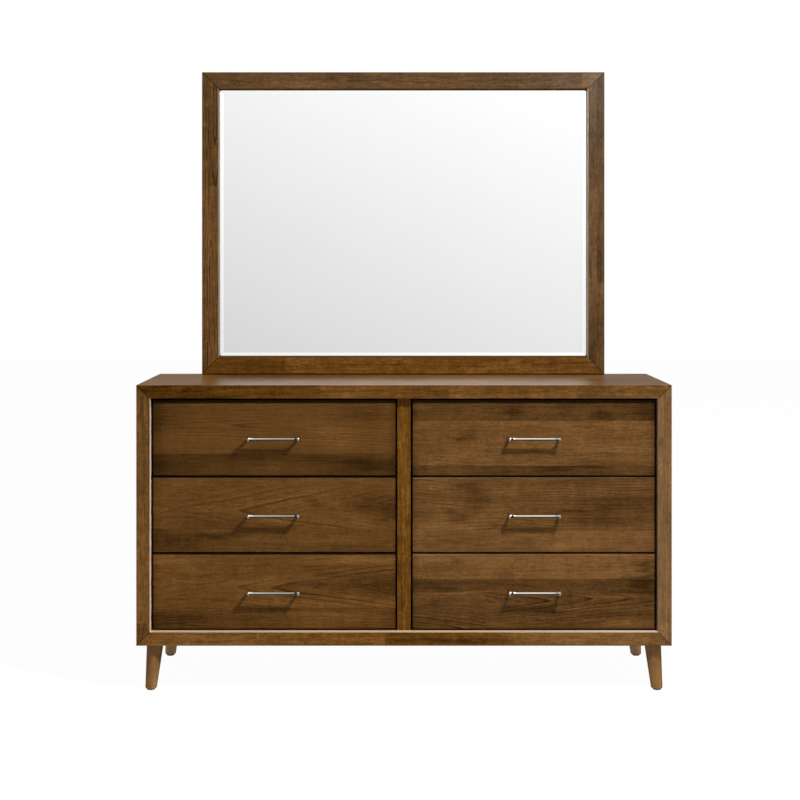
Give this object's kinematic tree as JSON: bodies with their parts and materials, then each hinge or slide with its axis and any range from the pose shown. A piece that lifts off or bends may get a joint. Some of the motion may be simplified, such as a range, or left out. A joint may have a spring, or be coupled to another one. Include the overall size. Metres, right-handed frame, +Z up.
{
  "type": "dresser with mirror",
  "caption": "Low walnut-stained dresser with two columns of drawers in a mitred case on splayed tapered legs, bar pulls, and a framed bevelled mirror standing on top.",
  "frame": {"origin": "on the floor, under the centre of the whole outline", "axes": "+X to the viewer's right, +Y towards the back, +Z up; the drawers open towards -Y"},
  "size_m": [1.5, 0.4604, 1.786],
  "materials": {
    "case_wood": "walnut stain under a satin lacquer",
    "front_wood": "walnut stain on edge-joined boards, satin lacquer",
    "leg_wood": "walnut stain on turned solid wood, satin lacquer",
    "inner_wood": "stained, unpolished wood",
    "box_wood": "clear-sealed pale hardwood",
    "plywood": "thin sealed plywood",
    "pull_metal": "polished nickel plate",
    "steel": "zinc-plated rolled steel",
    "glide_nylon": "dark nylon",
    "mirror_glass": "silvered glass with a bevelled border"
  },
  "bodies": {
    "case": {"back_panel": "plywood", "bottom_panel": "case_wood", "cabinet_slides": "steel", "centre_partition": "inner_wood", "centre_stile": "case_wood", "drawer_rails": "inner_wood", "foot_glides": "glide_nylon", "front_legs": "leg_wood", "mirror_backing": "plywood", "mirror_clips": "steel", "mirror_glass": "mirror_glass", "mirror_rail_bottom": "case_wood", "mirror_rail_top": "case_wood", "mirror_stile_left": "case_wood", "mirror_stile_right": "case_wood", "mirror_supports": "inner_wood", "rear_legs": "leg_wood", "side_panel_left": "case_wood", "side_panel_right": "case_wood", "slide_cleats": "inner_wood", "top_panel": "case_wood"},
    "drawer_left_top": {"drawer_front_left_top": "front_wood", "drawer_box_left_top": "box_wood", "drawer_bottom_left_top": "plywood", "pull_left_top": "pull_metal", "drawer_slides_left_top": "steel"},
    "runners_left_top": {"middle_slides_left_top": "steel"},
    "drawer_left_middle": {"drawer_front_left_middle": "front_wood", "drawer_box_left_middle": "box_wood", "drawer_bottom_left_middle": "plywood", "pull_left_middle": "pull_metal", "drawer_slides_left_middle": "steel"},
    "runners_left_middle": {"middle_slides_left_middle": "steel"},
    "drawer_left_bottom": {"drawer_front_left_bottom": "front_wood", "drawer_box_left_bottom": "box_wood", "drawer_bottom_left_bottom": "plywood", "pull_left_bottom": "pull_metal", "drawer_slides_left_bottom": "steel"},
    "runners_left_bottom": {"middle_slides_left_bottom": "steel"},
    "drawer_right_top": {"drawer_front_right_top": "front_wood", "drawer_box_right_top": "box_wood", "drawer_bottom_right_top": "plywood", "pull_right_top": "pull_metal", "drawer_slides_right_top": "steel"},
    "runners_right_top": {"middle_slides_right_top": "steel"},
    "drawer_right_middle": {"drawer_front_right_middle": "front_wood", "drawer_box_right_middle": "box_wood", "drawer_bottom_right_middle": "plywood", "pull_right_middle": "pull_metal", "drawer_slides_right_middle": "steel"},
    "runners_right_middle": {"middle_slides_right_middle": "steel"},
    "drawer_right_bottom": {"drawer_front_right_bottom": "front_wood", "drawer_box_right_bottom": "box_wood", "drawer_bottom_right_bottom": "plywood", "pull_right_bottom": "pull_metal", "drawer_slides_right_bottom": "steel"},
    "runners_right_bottom": {"middle_slides_right_bottom": "steel"}
  },
  "joints": [
    {"name": "left_top_drawer_slide", "type": "slide", "parent": "case", "child": "drawer_left_top", "axis": [0, -1, 0], "range_m": [0, 0.34]},
    {"name": "left_top_runner_slide", "type": "slide", "parent": "case", "child": "runners_left_top", "axis": [0, -1, 0], "range_m": [0, 0.17]},
    {"name": "left_middle_drawer_slide", "type": "slide", "parent": "case", "child": "drawer_left_middle", "axis": [0, -1, 0], "range_m": [0, 0.34]},
    {"name": "left_middle_runner_slide", "type": "slide", "parent": "case", "child": "runners_left_middle", "axis": [0, -1, 0], "range_m": [0, 0.17]},
    {"name": "left_bottom_drawer_slide", "type": "slide", "parent": "case", "child": "drawer_left_bottom", "axis": [0, -1, 0], "range_m": [0, 0.34]},
    {"name": "left_bottom_runner_slide", "type": "slide", "parent": "case", "child": "runners_left_bottom", "axis": [0, -1, 0], "range_m": [0, 0.17]},
    {"name": "right_top_drawer_slide", "type": "slide", "parent": "case", "child": "drawer_right_top", "axis": [0, -1, 0], "range_m": [0, 0.34]},
    {"name": "right_top_runner_slide", "type": "slide", "parent": "case", "child": "runners_right_top", "axis": [0, -1, 0], "range_m": [0, 0.17]},
    {"name": "right_middle_drawer_slide", "type": "slide", "parent": "case", "child": "drawer_right_middle", "axis": [0, -1, 0], "range_m": [0, 0.34]},
    {"name": "right_middle_runner_slide", "type": "slide", "parent": "case", "child": "runners_right_middle", "axis": [0, -1, 0], "range_m": [0, 0.17]},
    {"name": "right_bottom_drawer_slide", "type": "slide", "parent": "case", "child": "drawer_right_bottom", "axis": [0, -1, 0], "range_m": [0, 0.34]},
    {"name": "right_bottom_runner_slide", "type": "slide", "parent": "case", "child": "runners_right_bottom", "axis": [0, -1, 0], "range_m": [0, 0.17]}
  ],
  "couplings": [
    {"joint": "left_top_runner_slide", "follows": "left_top_drawer_slide", "ratio": 0.5},
    {"joint": "left_middle_runner_slide", "follows": "left_middle_drawer_slide", "ratio": 0.5},
    {"joint": "left_bottom_runner_slide", "follows": "left_bottom_drawer_slide", "ratio": 0.5},
    {"joint": "right_top_runner_slide", "follows": "right_top_drawer_slide", "ratio": 0.5},
    {"joint": "right_middle_runner_slide", "follows": "right_middle_drawer_slide", "ratio": 0.5},
    {"joint": "right_bottom_runner_slide", "follows": "right_bottom_drawer_slide", "ratio": 0.5}
  ]
}
